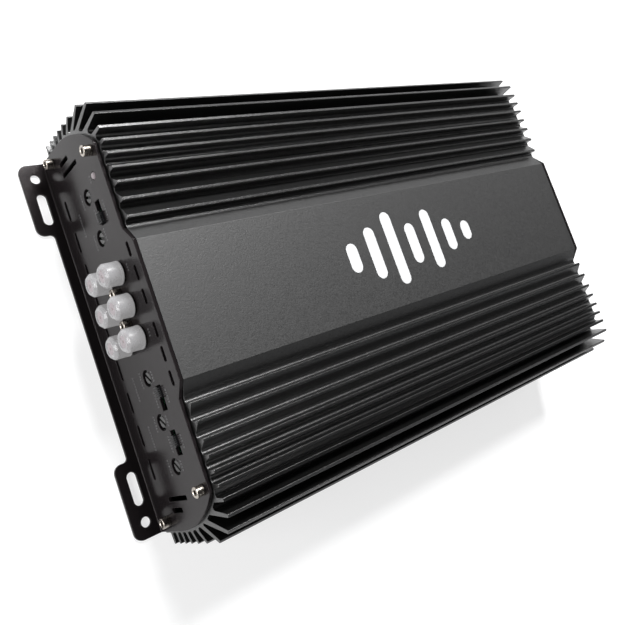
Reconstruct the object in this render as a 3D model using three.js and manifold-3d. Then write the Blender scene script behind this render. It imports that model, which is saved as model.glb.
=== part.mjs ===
// A four-channel car amplifier: a finned aluminium extrusion closed by two folded steel end
// plates, with its phono sockets and controls on one end and its terminals and fuses on the other.
// Millimetres, +Z up, +X along the extrusion from the input end to the output end.
// The origin is on the mounting surface, under the middle of the case.
import * as THREE from "three";
import { mergeVertices } from "three/addons/utils/BufferGeometryUtils.js";
import Module from "manifold-3d";

const wasm = await Module();
wasm.setup();

// ---- Driving dimensions ----
const CASE_LENGTH = 292;
const CASE_END = CASE_LENGTH / 2;
const GAP = 0.3; // clearance between neighbouring pieces
const SEAT = 0.1; // clearance under a seated head

// Extrusion section, in Y and Z. It is the same on both sides of the middle.
const SECTION = {
  foot: 1.5, plateauTop: 63.2, plateauHalf: 29.5, plateauEdge: 0.3,
  roofTop: 58.5, roofStart: 36, roofEdge: 3, wall: 3,
};
const CORNER = { y: 37.3, z: 21.9, radius: 52.8 }; // the round shoulder of the skin
const SIDE_WALL = CORNER.y + CORNER.radius;
const INNER_WALL = SIDE_WALL - SECTION.wall;
const ROOF_END = CORNER.y + Math.sqrt(CORNER.radius ** 2 - (SECTION.roofTop - CORNER.z) ** 2);
const FIN_EDGE = 0.25;
// Each fin: crest Y and Z, lean from the vertical in degrees, how many degrees its inner flank
// (towards the plateau) and its outer flank open out below the crest, the radius at its roots,
// its thickness at the crest, and the slope of the crest in degrees.
const FINS = [
  [39.4, 62.1, 0, 3, 50, 1.2, 1.2, 0],
  [46.9, 62.7, 0, 3, 41, 1.2, 1.2, 0],
  [54.2, 62.9, 0, 3, 33, 1.2, 1.2, 0],
  [60.6, 63, 0, 3, 19, 1.4, 1.2, 0],
  [66.8, 63.1, 0, 3, 8, 1.5, 1.3, 0],
  [72.5, 63.1, 1, 2, 3, 1.5, 1.4, 0],
  [78.2, 63, 3, 2, 2, 1.4, 1.5, 7],
  [84.6, 62.6, 9, 2, 2, 1.1, 1.5, 29],
  [91, 58.5, 17, 1.5, 1.5, 0.6, 1.6, 42],
  [94.7, 49.1, 31, 1.5, 2, 0.6, 1.5, 37],
  [95, 37.9, 46, 2, 2, 0.9, 1.4, 46],
  [95.2, 30.1, 60, 3, 2, 0.9, 1.3, 60],
  [95.2, 23.9, 69, 3, 3, 0.9, 1.3, 69],
  [95.2, 18.2, 78, 3, 3, 0.9, 1.3, 78],
  [95.2, 12.8, 84, 3, 3, 0.9, 1.3, 84],
  [95.2, 7.3, 88, 3, 3, 0.9, 1.3, 88],
];
// Two grooves along each side wall hold the base sheet and the main board.
const RAIL_REACH = 82.5;
const GROOVES = [
  [2.7, 4.5],
  [6.1, 8.3],
];
const LOWER_BOSS = { reach: 80.3, top: 16.9, edge: 2.5 };
const UPPER_BOSS = { from: 34, inner: [73.2, 48.4], middle: [68, 51.6], edge: 2 };
const SHEET_HALF = 86.7;
const BASE_PLATE = { bottom: 3, top: 4.2, end: CASE_END };
const MAIN_BOARD = { bottom: 6.4, top: 8, end: 145 };
const BOARD_TOP = MAIN_BOARD.top + GAP;

// Socket-head screws, and the four places where they hold each end plate
const SCREW = { radius: 1.5, clear: 1.8, head: 2.4, height: 3.7, socket: 1.35, depth: 2 };
const CORNER_SCREWS = [
  { u: 72.6, v: 52.9, name: "upper" },
  { u: 84.1, v: 12.6, name: "lower" },
];
const CORNER_SCREW_LENGTH = 10;
const RCA_SCREW_LENGTH = 8;

// Each end has its own axes: u across, v up and w outwards, with w = 0 on the end of the extrusion.
// End plates, folded from one sheet with a flange and two ears at the foot
const SHEET = 1.5;
const PLATE_BACK = GAP;
const PLATE_FRONT = PLATE_BACK + SHEET;
const BEND = 0.8;
const PLATE = {
  half: 89, top: 57.7, crown: 63.6, crownHalf: 29.6, crownFoot: 36.3, corner: 2.5,
};
const PLATE_SHOULDER = { u: 37.3, v: 21.9, radius: PLATE.half - 37.3 };
const FLANGE_REACH = 6.7;
const EAR = { reach: 14.1, inner: 54.4, radius: 4, fillet: 2 };
const EAR_HOLE = { u: 82, w: 7.3, radius: 2.3 };
const EAR_SLOT = { u: 66.8, w: 7.3, length: 15.2, width: 4.6 };
const TOP_VENTS = { at: [7, 17.2, 27.3], v: 57.6, length: 6.4, width: 2.2 };
const LOW_VENTS = { pitch: 15.2, each_side: 4, v: 12.1, length: 9.6, width: 2.2 };
const SIDE_VENTS = [
  { u: 75, bottom: 19.1, top: 36.6, half: 1, corner: 0.6 },
  { u: 80, bottom: 19.3, top: 29.2, half: 1.05, corner: 0.6 },
];

// Input end
const CONTROL_BOARD = { half: 68, top: 54, back: -13.6, front: -12 };
const BEHIND = CONTROL_BOARD.front + GAP; // where pieces on the control board start
const RCA = { columns: [-21.4, -7.3, 6.75], rows: [44, 30], barrel: 4.15, reach: 9, bore: 1.7 };
const RCA_HOLE = 4.6;
const RCA_BLOCK = { left: -29, right: 14.4, bottom: 22, top: 52, front: -GAP };
const RCA_SCREWS = { at: [-14.3, -0.25], v: 37 };
const CAP = {
  radius: 5.2, bore: 4.45, base: 2.7, face: 10.6, rim: 4, edge: 1.2, dimple: 1.2, roof: 0.9,
};
const POTS = [
  { u: -58, slot: -20 },
  { u: -39.2, slot: -20 },
  { u: 23.5, slot: -45 },
  { u: 42.7, slot: -40 },
  { u: 61.8, slot: -45 },
];
const POT = {
  v: 36.3, hole: 3.6, half: 4.6, drop: 6, rise: 4, depth: 9, bush: 4, bore: 2.75, neck: -0.3,
};
const SHAFT = { radius: 2.45, face: 1.3, tail: -8, slot: 1.2, slotDepth: 1.2, edge: 0.3 };
const SWITCHES = [
  { u: -48.55, knob: 2.4 },
  { u: 33.2, knob: -2.4 },
  { u: 52.25, knob: -0.75 },
];
const SWITCH = { v: 43.6, length: 10.6, width: 4.4, half: [5.9, 3], front: -0.5, well: -5 };
const KNOB = { length: 4.9, width: 3.7, reach: 3.3, back: -4.7, ribs: 5, groove: 0.6, deep: 1 };
const LED = { u: -63.1, v: 48.2, hole: 1.75, profile: [
  [0, BEHIND], [0.8, BEHIND], [0.8, -4], [2, -4], [2, -3], [1.5, -3], [1.5, 1.4],
  [1.25, 2], [0.7, 2.35], [0, 2.45],
] };

// Output end
const BLOCK_BACK = -14;
const BLOCK_NECK = -GAP;
const POWER = {
  u: 48, half: 23.5, bottom: 22, top: 43, reach: 12.5, pitch: 15, count: 3,
  port: { v: 31, half: 4.2, depth: 17 }, screw: { w: 6.5, radius: 3.2, socket: 1.75, foot: 36 },
};
const SPEAKER = {
  u: -40, half: 31, bottom: 24, top: 40.5, reach: 10.5, pitch: 7.6, count: 8,
  port: { v: 30.5, half: 2.5, depth: 14 }, screw: { w: 5.5, radius: 2, socket: 1.1, foot: 34 },
};
const FUSE_BLOCK = { u: 8, half: 12.2, bottom: 20.5, top: 44.5, reach: 3.9, back: -12 };
const FUSE = { at: [-6, 6], v: 32.5, tall: 19, thick: 5, back: 0.2, face: 11.6 };
const BLADE = { tall: 5.2, thick: 0.8, length: 7, apart: 12.4 };

// Inside
const TOROID = { x: 62, y: -34, outer: 27, inner: 11, height: 27, edge: 4 };
const CAPACITOR = { x: 96, y: 40, radius: 12.5, height: 40, edge: 1 };
const BANK = {
  start: -100, pitch: 25, count: 6, width: 15.6, inner: 79.2, outer: 85.2, bottom: 17, top: 34,
  bar: [77.4, 80, 22, 27], leg: [79.2, 80.2, 10],
};

// ---- Solids ----
const HALF_TURN = Math.PI;
const QUARTER_TURN = Math.PI / 2;

// A closed geometry as a manifold solid, with its faces turned outwards.
const solid = (geometry) => {
  const bare = geometry.clone();
  bare.deleteAttribute("normal");
  bare.deleteAttribute("uv");
  const merged = mergeVertices(bare, 1e-4);
  const build = (triVerts) => {
    const vertProperties = merged.attributes.position.array;
    return new wasm.Manifold(new wasm.Mesh({ numProp: 3, vertProperties, triVerts }));
  };
  const triVerts = new Uint32Array(merged.index.array);
  const made = build(triVerts);
  return made.volume() < 0 ? build(triVerts.reverse()) : made;
};

const join = (solids) => solids.reduce((whole, piece) => whole.add(piece));

const cut = (whole, tools) => tools.reduce((left, tool) => left.subtract(tool), whole);

const geometryOf = (made) => {
  const { vertProperties, triVerts } = made.getMesh();
  const geometry = new THREE.BufferGeometry();
  geometry.setAttribute("position", new THREE.BufferAttribute(vertProperties, 3));
  geometry.setIndex(new THREE.BufferAttribute(triVerts, 1));
  geometry.computeVertexNormals();
  return geometry;
};

// ---- Outlines, and simple solids in the axes u, v and w ----
const outline = (points) => new THREE.Shape(points.map(([a, b]) => new THREE.Vector2(a, b)));

const arc = (a, b, radius, from, to, steps) =>
  Array.from({ length: steps + 1 }, (_, i) => {
    const angle = from + ((to - from) * i) / steps;
    return [a + radius * Math.cos(angle), b + radius * Math.sin(angle)];
  });

// The right half of an outline or of its corners, and then the mirror image, last point first.
const withMirror = (half) => [
  ...half,
  ...half.map(([a, ...others]) => [-a, ...others]).reverse(),
];

const slab = (points, from, to) => {
  const geometry = new THREE.ExtrudeGeometry(outline(points), {
    depth: to - from,
    bevelEnabled: false,
  });
  return solid(geometry.translate(0, 0, from));
};

const block = (u0, u1, v0, v1, w0, w1) => {
  const geometry = new THREE.BoxGeometry(u1 - u0, v1 - v0, w1 - w0);
  return solid(geometry.translate((u0 + u1) / 2, (v0 + v1) / 2, (w0 + w1) / 2));
};

// A rod along w. A hexagon socket has 6 sides.
const rod = (u, v, radius, w0, w1, sides = 16) => {
  const geometry = new THREE.CylinderGeometry(radius, radius, w1 - w0, sides);
  return solid(geometry.rotateX(QUARTER_TURN).translate(u, v, (w0 + w1) / 2));
};

// A rod along v.
const post = (u, w, radius, v0, v1, sides = 16) => {
  const geometry = new THREE.CylinderGeometry(radius, radius, v1 - v0, sides);
  return solid(geometry.translate(u, (v0 + v1) / 2, w));
};

// A profile of radius and height pairs, turned round w.
const turned = (profile, sides = 20) => {
  const points = profile.map(([radius, height]) => new THREE.Vector2(radius, height));
  return solid(new THREE.LatheGeometry(points, sides).rotateX(QUARTER_TURN));
};

// The outline of a straight slot with round ends, lying along a.
const slotOutline = (a, b, length, width) => {
  const reach = (length - width) / 2;
  return [
    ...arc(a + reach, b, width / 2, -QUARTER_TURN, QUARTER_TURN, 4),
    ...arc(a - reach, b, width / 2, QUARTER_TURN, 3 * QUARTER_TURN, 4),
  ];
};

// A closed outline through corners of [a, b, radius], each rounded by an arc of a few steps.
const filleted = (corners) =>
  corners.flatMap(([a, b, radius = 0], i) => {
    if (radius === 0) return [[a, b]];
    const corner = new THREE.Vector2(a, b);
    const [before, after] = [corners.at(i - 1), corners[(i + 1) % corners.length]].map(([x, y]) =>
      new THREE.Vector2(x, y).sub(corner).normalize(),
    );
    const half = Math.acos(before.dot(after)) / 2;
    const centre = before.clone().add(after).setLength(radius / Math.sin(half)).add(corner);
    const start = before.multiplyScalar(radius / Math.tan(half)).add(corner).sub(centre).angle();
    const end = after.multiplyScalar(radius / Math.tan(half)).add(corner).sub(centre).angle();
    const sweep = Math.atan2(Math.sin(end - start), Math.cos(end - start));
    return arc(centre.x, centre.y, radius, start, start + sweep, radius < 0.5 ? 1 : 3);
  });

// ---- The extrusion ----
// Turns a section drawn in Y and Z, and extruded along w, so that w lies along X.
const ALONG_X = new THREE.Matrix4().makeBasis(
  new THREE.Vector3(0, 1, 0),
  new THREE.Vector3(0, 0, 1),
  new THREE.Vector3(1, 0, 0),
);

const extruded = (points, reach, holes = []) => {
  const section = outline(points);
  section.holes = holes.map(outline);
  const geometry = new THREE.ExtrudeGeometry(section, { depth: 2 * reach, bevelEnabled: false });
  return solid(geometry.translate(0, 0, -reach).applyMatrix4(ALONG_X));
};

// Where a line from a fin's crest, along the direction down, meets the skin.
const meetSkin = (y, z, down) => {
  const onRoof = y + (down.y * (SECTION.roofTop - z)) / down.z;
  if (z > SECTION.roofTop && onRoof < ROOF_END) return [onRoof, SECTION.roofTop];
  const from = { y: y - CORNER.y, z: z - CORNER.z };
  const along = from.y * down.y + from.z * down.z;
  const beyond = from.y ** 2 + from.z ** 2 - CORNER.radius ** 2;
  const reach = -along - Math.sqrt(along ** 2 - beyond);
  if (reach > 0 && z + down.z * reach > CORNER.z) return [y + down.y * reach, z + down.z * reach];
  return [SIDE_WALL, z + (down.z * (SIDE_WALL - y)) / down.y];
};

const finCorners = ([y, z, lean, inner, outer, root, thickness, slope]) => {
  const along = THREE.MathUtils.degToRad(lean);
  const crest = THREE.MathUtils.degToRad(slope);
  const width = thickness / Math.cos(crest - along);
  const edge = (side, opening) => {
    const tip = [
      y + (side * Math.cos(crest) * width) / 2,
      z - (side * Math.sin(crest) * width) / 2,
    ];
    const flank = along - side * THREE.MathUtils.degToRad(opening);
    const down = { y: -Math.sin(flank), z: -Math.cos(flank) };
    return [[...meetSkin(...tip, down), root], [...tip, FIN_EDGE]];
  };
  return [...edge(-1, inner), ...edge(1, outer).reverse()];
};

// The right half of the section's inside, from its foot up to the middle of the roof.
const insideCorners = () => {
  const { foot, wall, roofTop, roofStart, plateauHalf, plateauTop } = SECTION;
  const { reach, top, edge } = LOWER_BOSS;
  const roof = roofTop - wall;
  const inset = wall * 0.4; // keeps the wall even along the plateau's sloping shoulder
  const bossStart = THREE.MathUtils.degToRad(UPPER_BOSS.from);
  const skin = arc(CORNER.y, CORNER.z, CORNER.radius - wall, 0, bossStart, 6);
  return [
    [RAIL_REACH, foot],
    ...GROOVES.flatMap(([bottom, high]) => [
      [RAIL_REACH, bottom],
      [INNER_WALL, bottom],
      [INNER_WALL, high],
      [high < GROOVES[1][1] ? RAIL_REACH : reach, high],
    ]),
    [reach, top, edge],
    [INNER_WALL, top, 1],
    ...skin,
    [...UPPER_BOSS.inner, UPPER_BOSS.edge],
    [...UPPER_BOSS.middle, UPPER_BOSS.edge],
    [UPPER_BOSS.middle[0], roof, 1],
    [roofStart - inset, roof, 2],
    [plateauHalf - inset, plateauTop - wall, 2],
  ];
};

const heatsink = () => {
  const outside = [
    [SECTION.plateauHalf, SECTION.plateauTop, SECTION.plateauEdge],
    [SECTION.roofStart, SECTION.roofTop, SECTION.roofEdge],
    ...FINS.flatMap(finCorners),
    [SIDE_WALL, SECTION.foot],
  ];
  const section = filleted(withMirror([...outside, ...insideCorners()]));
  const holes = CORNER_SCREWS.flatMap(({ u, v }) =>
    [u, -u].map((at) => arc(at, v, SCREW.clear, 0, 2 * HALF_TURN, 16).slice(1)),
  );
  return extruded(section, CASE_END, holes);
};

const plainSheet = ({ bottom, top, end }) =>
  extruded(
    [
      [-SHEET_HALF, bottom],
      [SHEET_HALF, bottom],
      [SHEET_HALF, top],
      [-SHEET_HALF, top],
    ],
    end,
  );

// ---- End plates ----
const plateOutline = (foot) => {
  const { u, v, radius } = PLATE_SHOULDER;
  // The small corner arc touches the plate's level top and the inside of its round shoulder.
  const cornerV = PLATE.top - PLATE.corner;
  const cornerU = u + Math.sqrt((radius - PLATE.corner) ** 2 - (cornerV - v) ** 2);
  const turn = Math.atan2(cornerV - v, cornerU - u);
  return withMirror([
    [PLATE.half, foot],
    ...arc(u, v, radius, 0, turn, 8),
    ...arc(cornerU, cornerV, PLATE.corner, turn, QUARTER_TURN, 3).slice(1),
    [PLATE.crownFoot, PLATE.top],
    [PLATE.crownHalf, PLATE.crown],
  ]);
};

// The sheet's section in w and v: up the plate, round the bend, and out along the flange.
const foldedSection = () => {
  const centre = { w: PLATE_FRONT + BEND, v: SHEET + BEND };
  const outer = arc(centre.w, centre.v, BEND + SHEET, HALF_TURN, 3 * QUARTER_TURN, 5);
  const inner = arc(centre.w, centre.v, BEND, 3 * QUARTER_TURN, HALF_TURN, 4);
  return [
    [PLATE_BACK, PLATE.crown],
    ...outer,
    [EAR.reach, 0],
    [EAR.reach, SHEET],
    ...inner,
    [PLATE_FRONT, PLATE.crown],
  ];
};

// The flange's outline in u and w, from the middle of the plate outwards.
const flangeOutline = () =>
  withMirror([
    [PLATE.half, PLATE_BACK],
    ...arc(PLATE.half - EAR.radius, EAR.reach - EAR.radius, EAR.radius, 0, QUARTER_TURN, 4),
    ...arc(EAR.inner + EAR.radius, EAR.reach - EAR.radius, EAR.radius, QUARTER_TURN, HALF_TURN, 4),
    ...arc(EAR.inner - EAR.fillet, FLANGE_REACH + EAR.fillet, EAR.fillet, 0, -QUARTER_TURN, 3),
  ]);

// Lays a solid that was drawn in u and w down on the flange.
const laidDown = (points, v0, v1) => {
  const options = { depth: v1 - v0, bevelEnabled: false };
  const geometry = new THREE.ExtrudeGeometry(outline(points), options);
  // Drawn axes a, b and depth become u, w and downwards.
  return solid(geometry.rotateX(QUARTER_TURN).translate(0, v1, 0));
};

const through = (points) => slab(points, PLATE_BACK - 1, PLATE_FRONT + 1);

const vents = () => {
  const level = (u, v, { length, width }) => through(slotOutline(u, v, length, width));
  const low = Array.from({ length: 2 * LOW_VENTS.each_side + 1 }, (_, i) =>
    level((i - LOW_VENTS.each_side) * LOW_VENTS.pitch, LOW_VENTS.v, LOW_VENTS),
  );
  const high = TOP_VENTS.at.flatMap((u) => [u, -u]).map((u) => level(u, TOP_VENTS.v, TOP_VENTS));
  const upright = SIDE_VENTS.flatMap(({ u, bottom, top, half, corner }) =>
    [u, -u].map((at) =>
      through(
        filleted([
          [at - half, bottom, corner],
          [at + half, bottom, corner],
          [at + half, top, corner],
          [at - half, top, corner],
        ]),
      ),
    ),
  );
  return [...low, ...high, ...upright];
};

const endPlate = (openings) => {
  const section = foldedSection();
  const options = { depth: 2 * PLATE.half, bevelEnabled: false };
  // Drawn axes a, b and depth become w, v and u.
  const drawn = new THREE.ExtrudeGeometry(outline(section), options);
  const folded = solid(drawn.rotateY(-QUARTER_TURN).translate(PLATE.half, 0, 0));
  const foot = SHEET + BEND;
  const upper = slab(plateOutline(foot - 1), PLATE_BACK - 1, PLATE_FRONT + BEND);
  const lower = laidDown(flangeOutline(), -1, foot);
  const ears = [1, -1].flatMap((side) => [
    post(side * EAR_HOLE.u, EAR_HOLE.w, EAR_HOLE.radius, -1, SHEET + 1),
    laidDown(slotOutline(side * EAR_SLOT.u, EAR_SLOT.w, EAR_SLOT.length, EAR_SLOT.width), -1, 3),
  ]);
  const screws = CORNER_SCREWS.flatMap(({ u, v }) =>
    [u, -u].map((at) => rod(at, v, SCREW.clear, PLATE_BACK - 1, PLATE_FRONT + 1)),
  );
  return cut(folded.intersect(upper.add(lower)), [...ears, ...screws, ...vents(), ...openings]);
};

const holeFor = (u, v, radius) => rod(u, v, radius, PLATE_BACK - 1, PLATE_FRONT + 1, 20);

const inputOpenings = () => [
  ...RCA.columns.flatMap((u) => RCA.rows.map((v) => holeFor(u, v, RCA_HOLE))),
  ...RCA_SCREWS.at.map((u) => holeFor(u, RCA_SCREWS.v, SCREW.clear)),
  ...POTS.map(({ u }) => holeFor(u, POT.v, POT.hole)),
  ...SWITCHES.map(({ u }) =>
    block(
      u - SWITCH.length / 2,
      u + SWITCH.length / 2,
      SWITCH.v - SWITCH.width / 2,
      SWITCH.v + SWITCH.width / 2,
      PLATE_BACK - 1,
      PLATE_FRONT + 1,
    ),
  ),
  holeFor(LED.u, LED.v, LED.hole),
];

const outputOpenings = () =>
  [POWER, SPEAKER, FUSE_BLOCK].map(({ u, half, bottom, top }) =>
    block(u - half - GAP, u + half + GAP, bottom - GAP, top + GAP, PLATE_BACK - 1, PLATE_FRONT + 1),
  );

// ---- Screws ----
// A socket-head screw along w, with its head seated on the plate.
const capScrew = (length) => {
  const seat = PLATE_FRONT + SEAT;
  const face = seat + SCREW.height;
  const shank = rod(0, 0, SCREW.radius, face - SCREW.height - length, seat + 1, 12);
  const head = turned([
    [0, seat],
    [SCREW.head, seat],
    [SCREW.head, face - 0.3],
    [SCREW.head - 0.3, face],
    [0, face],
  ]);
  return head.add(shank).subtract(rod(0, 0, SCREW.socket, face - SCREW.depth, face + 1, 6));
};

// A terminal's clamping screw along v, with its hexagon socket at the top.
const clampScrew = ({ screw, top }) => {
  const face = top - 0.6;
  const body = post(0, 0, screw.radius, screw.foot, face);
  return body.subtract(post(0, 0, screw.socket, face - 2, face + 1, 6));
};

// ---- Input end pieces, each round its own origin in u and v ----
const rcaBlock = () => {
  const { left, right, bottom, top, front } = RCA_BLOCK;
  const sockets = RCA.columns.flatMap((u) => RCA.rows.map((v) => [u, v]));
  const body = join([
    block(left, right, bottom, top, BEHIND, front),
    ...sockets.map(([u, v]) => rod(u, v, RCA.barrel, front - 1, RCA.reach)),
  ]);
  return cut(body, [
    ...sockets.map(([u, v]) => rod(u, v, RCA.bore, front - 1, RCA.reach + 1, 12)),
    ...RCA_SCREWS.at.map((u) => rod(u, RCA_SCREWS.v, SCREW.clear, BEHIND + 2, front + 1, 12)),
  ]);
};

const dustCap = () =>
  turned([
    [0, CAP.face - 0.5],
    [CAP.dimple - 0.5, CAP.face - 0.5],
    [CAP.dimple, CAP.face],
    [CAP.rim, CAP.face],
    [CAP.radius, CAP.face - CAP.edge],
    [CAP.radius, CAP.base],
    [CAP.bore, CAP.base],
    [CAP.bore, CAP.face - CAP.roof],
    [0, CAP.face - CAP.roof],
  ]);

const potBody = () => {
  const front = BEHIND + POT.depth;
  const body = block(-POT.half, POT.half, -POT.drop, POT.rise, BEHIND, front);
  const bush = rod(0, 0, POT.bush, front - 1, POT.neck);
  return body.add(bush).subtract(rod(0, 0, POT.bore, SHAFT.tail - GAP, 1));
};

const potShaft = () => {
  const shaft = turned([
    [0, SHAFT.tail],
    [SHAFT.radius, SHAFT.tail],
    [SHAFT.radius, SHAFT.face - SHAFT.edge],
    [SHAFT.radius - SHAFT.edge, SHAFT.face],
    [0, SHAFT.face],
  ]);
  const half = SHAFT.slot / 2;
  return shaft.subtract(block(-half, half, -4, 4, SHAFT.face - SHAFT.slotDepth, SHAFT.face + 1));
};

const switchBody = () => {
  const { length, width, front, well } = SWITCH;
  const [across, up] = SWITCH.half;
  const body = block(-across, across, -up, up, BEHIND, front);
  return body.subtract(block(-length / 2, length / 2, -width / 2, width / 2, well, front + 1));
};

const switchKnob = () => {
  const { length, width, reach, back, ribs, groove, deep } = KNOB;
  const body = block(-length / 2, length / 2, -width / 2, width / 2, back, reach);
  const pitch = length / (ribs + 1);
  const grooves = Array.from({ length: ribs }, (_, i) => {
    const at = (i + 1) * pitch - length / 2;
    return block(at - groove / 2, at + groove / 2, -width, width, reach - deep, reach + 1);
  });
  return cut(body, grooves);
};

const controlBoard = () => {
  const { half, top, back, front } = CONTROL_BOARD;
  return block(-half, half, BOARD_TOP, top, back, front);
};

// ---- Output end pieces ----
const terminalPlaces = ({ u, pitch, count }) =>
  Array.from({ length: count }, (_, i) => u + (i - (count - 1) / 2) * pitch);

const terminalBlock = (kind) => {
  const { u, half, bottom, top, reach, port, screw } = kind;
  const behind = block(u - half, u + half, BOARD_TOP, top, BLOCK_BACK, BLOCK_NECK);
  const nose = block(u - half, u + half, bottom, top, BLOCK_NECK - 1, reach);
  const tools = terminalPlaces(kind).flatMap((at) => [
    block(at - port.half, at + port.half, port.v - port.half, port.v + port.half,
      reach - port.depth, reach + 1),
    post(at, screw.w, screw.radius + GAP, port.v, top + 1),
  ]);
  return cut(behind.add(nose), tools);
};

const fuseBlock = () => {
  const { u, half, bottom, top, reach, back } = FUSE_BLOCK;
  const body = join([
    block(u - half, u + half, BOARD_TOP, top, back, BLOCK_NECK),
    block(u - half, u + half, bottom, top, BLOCK_NECK - 1, reach),
  ]);
  const tools = FUSE.at.flatMap((offset) => {
    const at = u + offset;
    const pocket = [FUSE.thick / 2 + GAP, FUSE.tall / 2 + GAP];
    const blade = [BLADE.thick / 2 + GAP, BLADE.tall / 2 + GAP];
    return [
      block(at - pocket[0], at + pocket[0], FUSE.v - pocket[1], FUSE.v + pocket[1],
        FUSE.back - GAP, reach + 1),
      ...[1, -1].map((side) => {
        const v = FUSE.v + (side * BLADE.apart) / 2;
        return block(at - blade[0], at + blade[0], v - blade[1], v + blade[1],
          FUSE.back - BLADE.length - GAP, reach + 1);
      }),
    ];
  });
  return cut(body, tools);
};

const fuse = () => {
  const thick = FUSE.thick / 2;
  const waist = FUSE.face - 4;
  const body = join([
    block(-thick, thick, -FUSE.tall / 2, FUSE.tall / 2, waist, FUSE.face),
    block(-thick, thick, -FUSE.tall / 2 + 1, FUSE.tall / 2 - 1, FUSE.back, waist + 1),
  ]);
  const blades = [1, -1].map((side) => {
    const v = (side * BLADE.apart) / 2;
    return block(-BLADE.thick / 2, BLADE.thick / 2, v - BLADE.tall / 2, v + BLADE.tall / 2,
      FUSE.back - BLADE.length, FUSE.back + 2);
  });
  return join([body, ...blades]);
};

// ---- Pieces on the main board ----
const toroid = () => {
  const { outer, inner, height, edge } = TOROID;
  return turned([
    [inner + edge, 0],
    [outer - edge, 0],
    [outer, edge],
    [outer, height - edge],
    [outer - edge, height],
    [inner + edge, height],
    [inner, height - edge],
    [inner, edge],
    [inner + edge, 0],
  ]);
};

const capacitor = () => {
  const { radius, height, edge } = CAPACITOR;
  return turned([
    [0, 0],
    [radius - edge, 0],
    [radius, edge],
    [radius, height - edge],
    [radius - edge, height],
    [0, height],
  ]);
};

// A row of power transistors with their legs on the board and one bar that clamps them.
const transistorBank = (side) => {
  const { start, pitch, count, width, inner, outer, bottom, top, bar, leg } = BANK;
  const box = (x0, x1, y0, y1, z0, z1) =>
    block(x0, x1, Math.min(side * y0, side * y1), Math.max(side * y0, side * y1), z0, z1);
  const places = Array.from({ length: count }, (_, i) => start + i * pitch);
  const [barInner, barOuter, barBottom, barTop] = bar;
  const [legInner, legOuter, legWidth] = leg;
  return join([
    box(places[0] - width / 2, places[count - 1] + width / 2, barInner, barOuter, barBottom, barTop),
    ...places.map((x) => box(x - width / 2, x + width / 2, inner, outer, bottom, top)),
    ...places.map((x) =>
      box(x - legWidth / 2, x + legWidth / 2, legInner, legOuter, BOARD_TOP, bottom + 1),
    ),
  ]);
};

// ---- Materials ----
const finish = (color, metalness, roughness) =>
  new THREE.MeshStandardMaterial({ color, metalness, roughness });

const SATIN_BLACK = finish(0x2b2b2c, 0.6, 0.5);
const POWDER_BLACK = finish(0x161616, 0.2, 0.4);
const NICKEL = finish(0xb9b2a6, 1, 0.3);
const BLACK_PLASTIC = finish(0x101011, 0, 0.5);
const MILKY_PLASTIC = finish(0xd8d8d8, 0, 0.35);
const GREY_PLASTIC = finish(0x77777a, 0, 0.5);
const BOARD_GREEN = finish(0x1d4a2a, 0, 0.5);
const FUSE_ORANGE = finish(0xc9541c, 0, 0.25);
const COPPER = finish(0x9c5a33, 0.8, 0.4);
const SLEEVE_BLACK = finish(0x1a1c26, 0, 0.4);

// ---- Assembly ----
const amplifier = new THREE.Group();

const addTo = (group, name, made, material, place = [0, 0, 0], turn = 0) => {
  const mesh = new THREE.Mesh(geometryOf(made), material);
  mesh.name = name;
  mesh.position.set(...place);
  mesh.rotation.z = THREE.MathUtils.degToRad(turn);
  group.add(mesh);
};

// A group whose u, v and w axes lie on an end of the case. Side is -1 at the input end.
const endGroup = (side) => {
  const group = new THREE.Group();
  const basis = new THREE.Matrix4().makeBasis(
    new THREE.Vector3(0, side, 0),
    new THREE.Vector3(0, 0, 1),
    new THREE.Vector3(side, 0, 0),
  );
  group.quaternion.setFromRotationMatrix(basis);
  group.position.set(side * CASE_END, 0, 0);
  amplifier.add(group);
  return group;
};

const inputEnd = endGroup(-1);
const outputEnd = endGroup(1);

addTo(amplifier, "heatsink", heatsink(), SATIN_BLACK);
addTo(amplifier, "base_plate", plainSheet(BASE_PLATE), POWDER_BLACK);
addTo(amplifier, "main_board", plainSheet(MAIN_BOARD), BOARD_GREEN);
addTo(inputEnd, "input_end_plate", endPlate(inputOpenings()), POWDER_BLACK);
addTo(outputEnd, "output_end_plate", endPlate(outputOpenings()), POWDER_BLACK);

for (const [end, group] of [
  ["input", inputEnd],
  ["output", outputEnd],
]) {
  for (const { u, v, name } of CORNER_SCREWS) {
    for (const side of [1, -1]) {
      const label = `${end}_${name}_screw_${side > 0 ? 1 : 2}`;
      addTo(group, label, capScrew(CORNER_SCREW_LENGTH), NICKEL, [side * u, v, 0]);
    }
  }
}

addTo(inputEnd, "control_board", controlBoard(), BOARD_GREEN);
addTo(inputEnd, "rca_block", rcaBlock(), BLACK_PLASTIC);
RCA_SCREWS.at.forEach((u, i) => {
  const place = [u, RCA_SCREWS.v, 0];
  addTo(inputEnd, `rca_screw_${i + 1}`, capScrew(RCA_SCREW_LENGTH), NICKEL, place);
});
RCA.columns.forEach((u, column) => {
  RCA.rows.forEach((v, row) => {
    const label = `rca_cap_${column + 1}_${row === 0 ? "upper" : "lower"}`;
    addTo(inputEnd, label, dustCap(), MILKY_PLASTIC, [u, v, 0]);
  });
});
POTS.forEach(({ u, slot }, i) => {
  addTo(inputEnd, `pot_body_${i + 1}`, potBody(), GREY_PLASTIC, [u, POT.v, 0]);
  addTo(inputEnd, `pot_shaft_${i + 1}`, potShaft(), GREY_PLASTIC, [u, POT.v, 0], slot);
});
SWITCHES.forEach(({ u, knob }, i) => {
  addTo(inputEnd, `switch_body_${i + 1}`, switchBody(), BLACK_PLASTIC, [u, SWITCH.v, 0]);
  addTo(inputEnd, `switch_knob_${i + 1}`, switchKnob(), BLACK_PLASTIC, [u + knob, SWITCH.v, 0]);
});
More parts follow.
